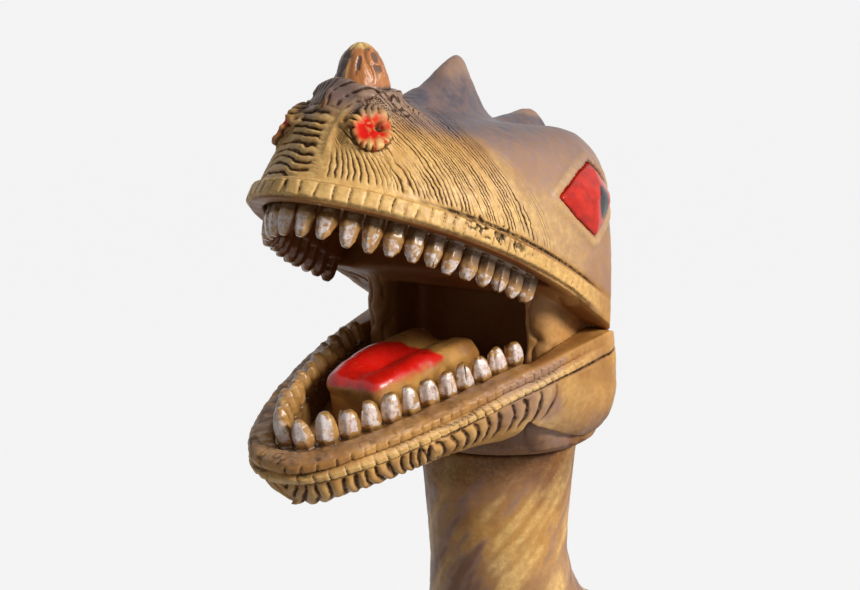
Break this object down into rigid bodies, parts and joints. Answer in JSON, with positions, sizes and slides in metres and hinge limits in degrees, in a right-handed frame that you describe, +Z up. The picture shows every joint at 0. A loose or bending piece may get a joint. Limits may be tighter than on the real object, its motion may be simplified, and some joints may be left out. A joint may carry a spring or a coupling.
{
  "type": "toy dinosaur figure",
  "caption": "Upright horned toy dinosaur in painted soft vinyl with an opening jaw, a turning head, and push-in legs, arms and tail.",
  "frame": {"origin": "centre of the bounding box's underside, on the floor the figure stands on", "axes": "+X to the figure's left, -Y the way it faces, +Z up"},
  "size_m": [0.1634, 0.5298, 0.4085],
  "materials": {
    "skin": "satin painted soft vinyl",
    "horn": "glossy paint",
    "teeth": "chipped white paint",
    "red": "glossy red paint",
    "pin": "plain"
  },
  "bodies": {
    "torso": {"torso": "skin"},
    "head": {"upper_head": "skin", "nose_horn": "horn", "upper_teeth": "teeth", "eye_left": "red", "eye_right": "red", "jaw_pin_left": "pin", "jaw_pin_right": "pin"},
    "jaw": {"lower_jaw": "skin", "lower_teeth": "teeth", "tongue": "red"},
    "tail": {"tail": "skin"},
    "leg_left": {"leg_left": "skin"},
    "leg_right": {"leg_right": "skin"},
    "arm_left": {"arm_left": "skin"},
    "arm_right": {"arm_right": "skin"}
  },
  "joints": [
    {"name": "neck_turn", "type": "hinge", "parent": "torso", "child": "head", "pos_m": [0, -0.16404, 0.293], "axis": [0, 0, 1], "range_deg": [-60, 60]},
    {"name": "jaw_hinge", "type": "hinge", "parent": "head", "child": "jaw", "pos_m": [0, -0.16914, 0.32], "axis": [-1, 0, 0], "range_deg": [0, 24]},
    {"name": "hip_left", "type": "hinge", "parent": "torso", "child": "leg_left", "pos_m": [0.0455, -0.06814, 0.148], "axis": [-1, 0, 0], "range_deg": [-25, 40]},
    {"name": "hip_right", "type": "hinge", "parent": "torso", "child": "leg_right", "pos_m": [-0.0455, -0.06814, 0.148], "axis": [-1, 0, 0], "range_deg": [-25, 40]},
    {"name": "shoulder_left", "type": "hinge", "parent": "torso", "child": "arm_left", "pos_m": [0.0375, -0.14814, 0.206], "axis": [-1, 0, 0], "range_deg": [-30, 70]},
    {"name": "shoulder_right", "type": "hinge", "parent": "torso", "child": "arm_right", "pos_m": [-0.0375, -0.14814, 0.206], "axis": [-1, 0, 0], "range_deg": [-30, 70]},
    {"name": "tail_turn", "type": "hinge", "parent": "torso", "child": "tail", "pos_m": [0, -0.02614, 0.1285], "axis": [0, 0.8835, -0.4685], "range_deg": [-30, 30]}
  ]
}
